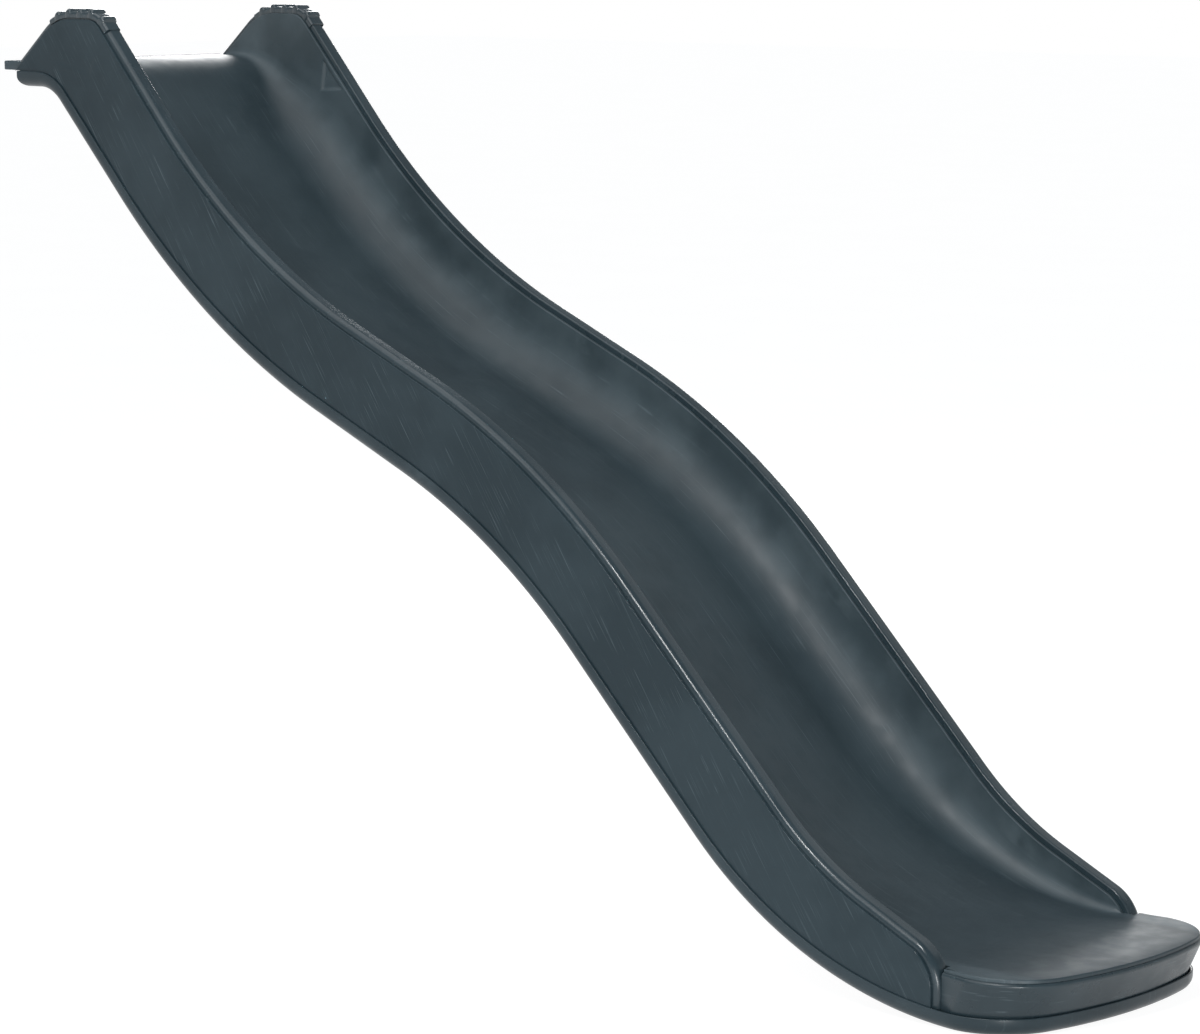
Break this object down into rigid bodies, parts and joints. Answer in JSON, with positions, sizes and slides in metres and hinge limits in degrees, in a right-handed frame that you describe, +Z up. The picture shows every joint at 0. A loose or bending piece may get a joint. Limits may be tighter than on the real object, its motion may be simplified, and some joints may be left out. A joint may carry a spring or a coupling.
{
  "type": "wave slide",
  "caption": "Straight wave slide for a play platform: a hollow moulded chute with walls, ear-shaped grips at the entrance, a hump half-way and a rounded run-out nose.",
  "frame": {"origin": "midway between the two fixing holes, on the underside of the entrance flange, which is the height of the platform's top", "axes": "+X level, down the slide from the platform to the nose; +Y to the left of the person sliding; +Z up"},
  "size_m": [2.0632, 0.4674, 1.2978],
  "materials": {
    "bed_plastic": "satin, faintly mottled",
    "shell_plastic": "satin, faintly mottled",
    "rail_plastic": "satin",
    "grip_plastic": "satin, scuffed",
    "base_plastic": "satin",
    "nose_plastic": "satin",
    "rib_plastic": "matte",
    "screw_steel": "brushed"
  },
  "bodies": {
    "root": {"chute_bed": "bed_plastic", "left_side_shell": "shell_plastic", "right_side_shell": "shell_plastic", "left_rim_rail": "rail_plastic", "right_rim_rail": "rail_plastic", "left_ear_grip": "grip_plastic", "right_ear_grip": "grip_plastic", "base_shell": "base_plastic", "nose_shell": "nose_plastic", "nose_rib": "rib_plastic", "base_screws": "screw_steel", "cross_rib_1": "rib_plastic", "cross_rib_2": "rib_plastic", "cross_rib_3": "rib_plastic", "cross_rib_4": "rib_plastic", "cross_rib_5": "rib_plastic", "cross_rib_6": "rib_plastic", "cross_rib_7": "rib_plastic", "cross_rib_8": "rib_plastic"}
  },
  "joints": []
}
